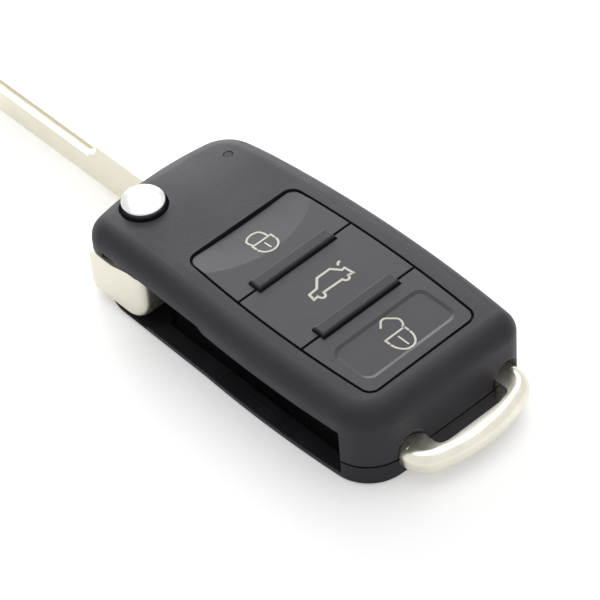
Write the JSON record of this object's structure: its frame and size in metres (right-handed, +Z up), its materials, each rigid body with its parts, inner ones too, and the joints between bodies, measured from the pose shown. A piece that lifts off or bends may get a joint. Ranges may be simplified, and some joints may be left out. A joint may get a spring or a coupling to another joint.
{
  "type": "flip key remote",
  "caption": "Flip key remote for a car: dark plastic case with push buttons, a key blade that swings out of a side slot on a sprung metal hub, and a key-ring loop.",
  "frame": {"origin": "on the flat underside of the case, below the middle of the button field", "axes": "+X towards the key-ring loop, -Y towards the side with the blade slot, +Z up out of the buttons; the blade is open and points to -X"},
  "size_m": [0.1291, 0.0378, 0.0188],
  "materials": {
    "case_plastic": "fine-grained matte charcoal",
    "cover_plastic": "fine-grained matte charcoal, a little darker",
    "button_plastic": "satin charcoal",
    "gloss_plastic": "gloss black",
    "plated_loop": "bright, slightly warm plating",
    "plated_hub": "satin plating over a casting, warm silver",
    "blade_steel": "milled, satin",
    "chrome_button": "polished chrome",
    "small_steel": "plain bright steel",
    "mat_rubber": "matte dark grey",
    "board": "green lacquer",
    "chip_plastic": "matte black",
    "coil": "enamelled copper on a dark core",
    "cell_steel": "bright steel",
    "contact_metal": "plated spring metal",
    "lamp_body": "pale yellow",
    "lens": "dark smoke tint"
  },
  "bodies": {
    "case": {"upper_shell": "case_plastic", "head_cover": "cover_plastic", "battery_cover": "cover_plastic", "inner_frame": "gloss_plastic", "key_ring_loop": "plated_loop", "hub_washer": "small_steel", "button_mat": "mat_rubber", "circuit_board": "board", "lock_switch": "small_steel", "trunk_switch": "small_steel", "unlock_switch": "small_steel", "remote_chip": "chip_plastic", "crystal": "small_steel", "antenna_coil": "coil", "transponder": "chip_plastic", "coin_battery": "cell_steel", "negative_contact": "contact_metal", "positive_contact": "contact_metal", "indicator_lamp": "lamp_body", "indicator_lens": "lens", "frame_screws": "small_steel"},
    "key": {"key_hub": "plated_hub", "key_blade": "blade_steel", "roll_pin": "small_steel", "flip_spring": "small_steel"},
    "release": {"release_button": "chrome_button"},
    "lock": {"lock_button": "button_plastic"},
    "trunk": {"trunk_button": "button_plastic"},
    "unlock": {"unlock_button": "button_plastic"}
  },
  "joints": [
    {"name": "blade_flip", "type": "hinge", "parent": "case", "child": "key", "pos_m": [-0.0374, -0.0083, 0], "axis": [0, 0, 1], "range_deg": [0, 180], "stiffness_Nm_per_rad": 0.01, "springref_deg": -57.3},
    {"name": "release_press", "type": "slide", "parent": "key", "child": "release", "axis": [0, 0, -1], "range_m": [0, 0.002], "stiffness_N_per_m": 800, "springref_m": -0.004, "deforming": ["flip_spring"]},
    {"name": "lock_press", "type": "slide", "parent": "case", "child": "lock", "axis": [0, 0, -1], "range_m": [0, 0.0004], "stiffness_N_per_m": 1500, "springref_m": -0.0004},
    {"name": "trunk_press", "type": "slide", "parent": "case", "child": "trunk", "axis": [0, 0, -1], "range_m": [0, 0.0004], "stiffness_N_per_m": 1500, "springref_m": -0.0004},
    {"name": "unlock_press", "type": "slide", "parent": "case", "child": "unlock", "axis": [0, 0, -1], "range_m": [0, 0.0004], "stiffness_N_per_m": 1500, "springref_m": -0.0004}
  ]
}
